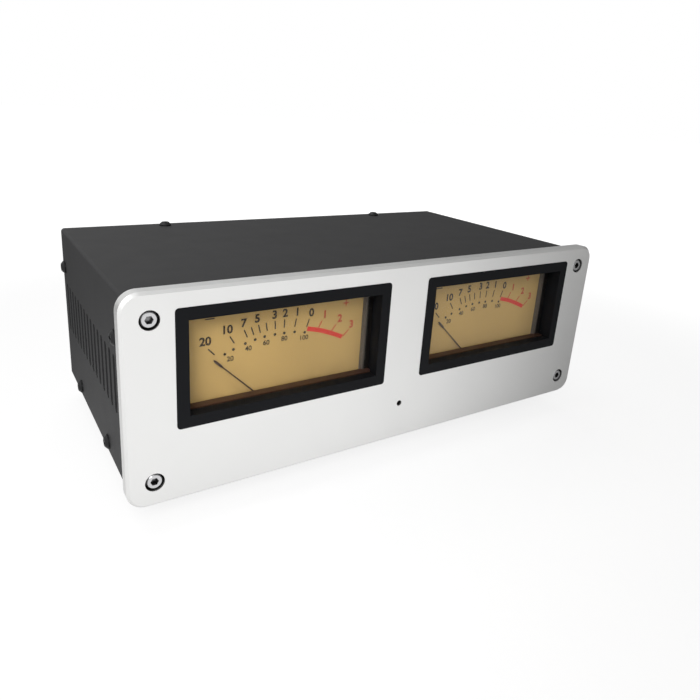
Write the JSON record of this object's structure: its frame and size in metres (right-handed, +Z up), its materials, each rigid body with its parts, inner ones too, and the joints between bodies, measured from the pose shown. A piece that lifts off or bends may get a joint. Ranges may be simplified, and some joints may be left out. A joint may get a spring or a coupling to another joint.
{
  "type": "analog vu meter",
  "caption": "Shallow bench box with moving-coil level meters behind black-framed windows in a silver front panel, vented dark steel cover, rear sockets, switches and knob.",
  "frame": {"origin": "middle of the bounding box, on the table under the rubber feet", "axes": "+X along the front panel towards the right-hand meter, -Y out of the front panel, +Z up"},
  "size_m": [0.22, 0.135, 0.085],
  "materials": {
    "anodised_panel": "satin, clear anodised, fine grain",
    "powder_coat": "satin fine-textured powder coat",
    "bright_steel": "bright zinc plate",
    "black_screw": "black oxide, slight sheen",
    "rubber_black": "matte",
    "black_plastic": "moulded, satin",
    "clear_pane": "clear, polished",
    "brown_plastic": "moulded, satin",
    "dial_card": "printed card, warm cream",
    "light_guide": "milky clear acrylic",
    "lamp_board": "white solder mask",
    "soft_iron": "machined, nickel plated",
    "magnet": "sintered, dark",
    "brass": "turned, bright",
    "aluminium": "thin drawn metal",
    "copper_wire": "enamelled copper winding",
    "pointer_brown": "dark brown paint",
    "spring_bronze": "phosphor bronze strip",
    "ivory_plastic": "moulded nylon",
    "green_board": "solder mask over glass-fibre",
    "capacitor_sleeve": "shrunk plastic sleeve",
    "chip_black": "moulded epoxy",
    "wire_red": "wire insulation",
    "red_plastic": "moulded, coloured ring",
    "chrome": "nickel plate, polished"
  },
  "bodies": {
    "chassis": {"front_panel": "anodised_panel", "panel_screws": "bright_steel", "panel_nuts": "bright_steel", "front_plate": "powder_coat", "bottom_tray": "powder_coat", "rear_plate": "powder_coat", "tray_rivets": "bright_steel", "top_cover": "powder_coat", "cover_screws": "black_screw", "feet": "rubber_black", "foot_screws": "bright_steel", "bezel_l": "black_plastic", "bezel_r": "black_plastic", "window_pane_l": "clear_pane", "window_pane_r": "clear_pane", "window_shelf_l": "brown_plastic", "window_shelf_r": "brown_plastic", "dial_l": "dial_card", "dial_r": "dial_card", "light_guides": "light_guide", "lamp_boards": "lamp_board", "meter_case_l": "black_plastic", "meter_case_r": "black_plastic", "meter_screws": "bright_steel", "meter_terminals": "brass", "pole_rings": "soft_iron", "core_magnets": "magnet", "core_spacers": "brass", "front_bridges": "brass", "rear_bridges": "brass", "jewel_screws": "brass", "stop_pins": "bright_steel", "hairsprings": "spring_bronze", "driver_board": "green_board", "board_headers": "ivory_plastic", "board_standoffs": "brass", "board_capacitors": "capacitor_sleeve", "board_chips": "chip_black", "leads": "wire_red", "microphone": "bright_steel", "mic_boot": "rubber_black", "line_socket_block": "black_plastic", "socket_sleeves": "chrome", "socket_inserts": "red_plastic", "supply_socket": "black_plastic", "sensitivity_pot": "bright_steel", "toggle_switches": "chrome", "rear_nuts": "chrome"},
    "rotor_l": {"coil_former_l": "aluminium", "coil_winding_l": "copper_wire", "pointer_l": "pointer_brown"},
    "rotor_r": {"coil_former_r": "aluminium", "coil_winding_r": "copper_wire", "pointer_r": "pointer_brown"},
    "adjuster_l": {"zero_adjuster_l": "ivory_plastic"},
    "adjuster_r": {"zero_adjuster_r": "ivory_plastic"},
    "knob": {"sensitivity_knob": "black_plastic", "pot_shaft": "bright_steel"},
    "power_switch_lever": {"power_lever": "chrome"},
    "source_switch_lever": {"source_lever": "chrome"}
  },
  "joints": [
    {"name": "pointer_swing_l", "type": "hinge", "parent": "chassis", "child": "rotor_l", "pos_m": [-0.051, -0.04795, 0.03], "axis": [0, 1, 0], "range_deg": [0, 96], "stiffness_Nm_per_rad": 0.0005},
    {"name": "pointer_swing_r", "type": "hinge", "parent": "chassis", "child": "rotor_r", "pos_m": [0.051, -0.04795, 0.03], "axis": [0, 1, 0], "range_deg": [0, 96], "stiffness_Nm_per_rad": 0.0005},
    {"name": "zero_adjust_l", "type": "hinge", "parent": "chassis", "child": "adjuster_l", "pos_m": [-0.051, -0.0352, 0.03], "axis": [0, 1, 0], "range_deg": [-15, 15]},
    {"name": "zero_adjust_r", "type": "hinge", "parent": "chassis", "child": "adjuster_r", "pos_m": [0.051, -0.0352, 0.03], "axis": [0, 1, 0], "range_deg": [-15, 15]},
    {"name": "sensitivity_turn", "type": "hinge", "parent": "chassis", "child": "knob", "pos_m": [0.004, 0.0528, 0.0336], "axis": [0, 1, 0], "range_deg": [-150, 150]},
    {"name": "power_switch", "type": "hinge", "parent": "chassis", "child": "power_switch_lever", "pos_m": [-0.052, 0.0518, 0.0316], "axis": [1, 0, 0], "range_deg": [0, 22]},
    {"name": "source_switch", "type": "hinge", "parent": "chassis", "child": "source_switch_lever", "pos_m": [-0.024, 0.0518, 0.0316], "axis": [1, 0, 0], "range_deg": [0, 22]}
  ]
}
